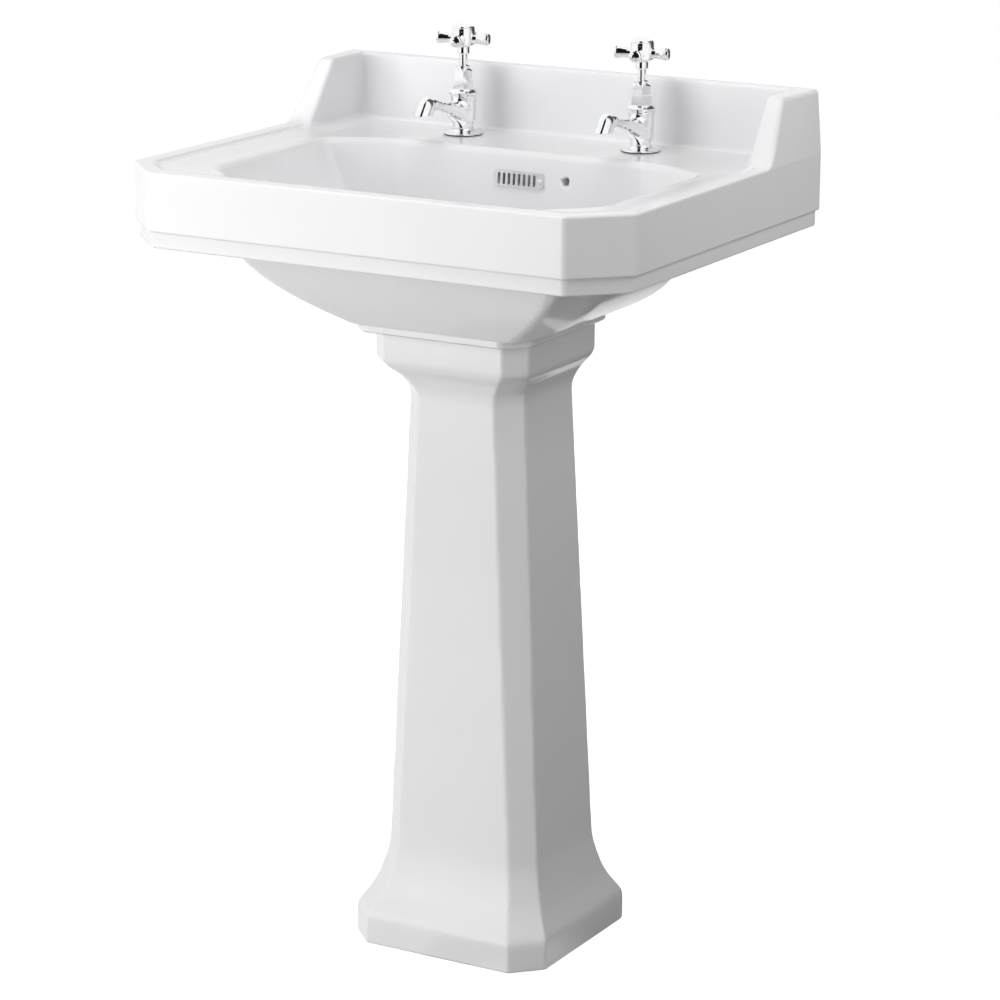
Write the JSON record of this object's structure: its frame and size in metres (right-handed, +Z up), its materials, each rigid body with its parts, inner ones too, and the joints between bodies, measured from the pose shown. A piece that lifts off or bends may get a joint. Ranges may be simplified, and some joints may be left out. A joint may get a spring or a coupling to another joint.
{
  "type": "pedestal sink",
  "caption": "White ceramic basin with an upstand on a full pedestal, with two cross-handle pillar taps, an overflow, a push waste and a bottle trap.",
  "frame": {"origin": "centre of the object's footprint at floor level: half way between its two sides, and half way between the wall face and the front edge", "axes": "+Z up, -Y towards the user in front of the basin, +Y towards the wall, +X to the user's right"},
  "size_m": [0.56, 0.45, 0.9329],
  "materials": {
    "glazed_white": "smooth white glaze on vitreous china",
    "chrome": "bright chrome plate on brass",
    "raw_brass": "plain machined brass",
    "black_rubber": "soft matt rubber",
    "white_nylon": "matt white nylon",
    "white_plastic": "moulded white polypropylene",
    "red_fibre": "pressed red fibre"
  },
  "bodies": {
    "fixture": {"basin": "glazed_white", "pedestal": "glazed_white", "overflow_grille": "chrome", "overflow_screw": "chrome", "waste_body": "chrome", "waste_top_seal": "black_rubber", "waste_bottom_seal": "black_rubber", "waste_backnut": "raw_brass", "waste_cartridge": "white_nylon", "trap_inlet_seal": "black_rubber", "trap_inlet_nut": "white_plastic", "trap_body": "white_plastic", "trap_cup_seal": "black_rubber", "trap_cup": "white_plastic", "trap_outlet_seal": "black_rubber", "trap_outlet_nut": "white_plastic", "hot_tap_body": "chrome", "hot_base_seal": "black_rubber", "hot_back_washer": "white_nylon", "hot_backnut": "raw_brass", "hot_bonnet_washer": "red_fibre", "hot_bonnet": "chrome", "hot_gland_packing": "white_nylon", "hot_gland_nut": "chrome", "cold_tap_body": "chrome", "cold_base_seal": "black_rubber", "cold_back_washer": "white_nylon", "cold_backnut": "raw_brass", "cold_bonnet_washer": "red_fibre", "cold_bonnet": "chrome", "cold_gland_packing": "white_nylon", "cold_gland_nut": "chrome"},
    "plug": {"waste_plug": "chrome", "waste_plug_seal": "black_rubber"},
    "hot_valve": {"hot_jumper": "raw_brass", "hot_valve_washer": "black_rubber", "hot_washer_nut": "raw_brass"},
    "hot_crosshead": {"hot_spindle": "chrome", "hot_handle": "chrome", "hot_handle_screw": "raw_brass", "hot_cap": "chrome"},
    "cold_valve": {"cold_jumper": "raw_brass", "cold_valve_washer": "black_rubber", "cold_washer_nut": "raw_brass"},
    "cold_crosshead": {"cold_spindle": "chrome", "cold_handle": "chrome", "cold_handle_screw": "raw_brass", "cold_cap": "chrome"}
  },
  "joints": [
    {"name": "plug_lift", "type": "slide", "parent": "fixture", "child": "plug", "axis": [0, 0, 1], "range_m": [0, 0.008]},
    {"name": "hot_valve_rise", "type": "slide", "parent": "fixture", "child": "hot_valve", "axis": [0, 0, 1], "range_m": [0, 0.005]},
    {"name": "hot_handle_turn", "type": "hinge", "parent": "hot_valve", "child": "hot_crosshead", "pos_m": [-0.104, 0.168, 0.917], "axis": [0, 0, 1], "range_deg": [0, 720]},
    {"name": "cold_valve_rise", "type": "slide", "parent": "fixture", "child": "cold_valve", "axis": [0, 0, 1], "range_m": [0, 0.005]},
    {"name": "cold_handle_turn", "type": "hinge", "parent": "cold_valve", "child": "cold_crosshead", "pos_m": [0.104, 0.168, 0.917], "axis": [0, 0, 1], "range_deg": [0, 720]}
  ],
  "couplings": [
    {"joint": "hot_handle_turn", "follows": "hot_valve_rise", "rad_per_m": 2513.3},
    {"joint": "cold_handle_turn", "follows": "cold_valve_rise", "rad_per_m": 2513.3}
  ]
}
